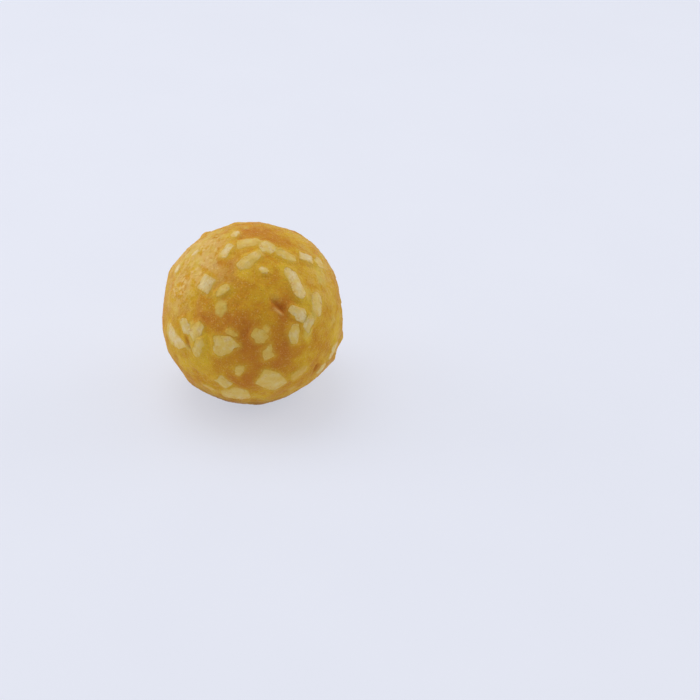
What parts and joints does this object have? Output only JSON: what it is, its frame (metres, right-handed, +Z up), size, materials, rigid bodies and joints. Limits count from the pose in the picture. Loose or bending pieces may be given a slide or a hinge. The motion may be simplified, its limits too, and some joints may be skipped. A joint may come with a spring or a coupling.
{
  "type": "mawa ladoo",
  "caption": "Hand-rolled ball of golden mawa sweet with chopped nuts pressed into its surface and a small flat resting spot.",
  "frame": {"origin": "on the table, under the middle of the ball", "axes": "+Z up; -Y faces the viewer of the picture, +X to that viewer's right"},
  "size_m": [0.0447, 0.0462, 0.0441],
  "materials": {
    "mawa": "moist, slightly glossy golden-brown milk-solid mass",
    "nut": "satin cream-coloured cut nut, tinted golden by the mass"
  },
  "bodies": {
    "root": {"ladoo": "mawa"}
  },
  "joints": []
}
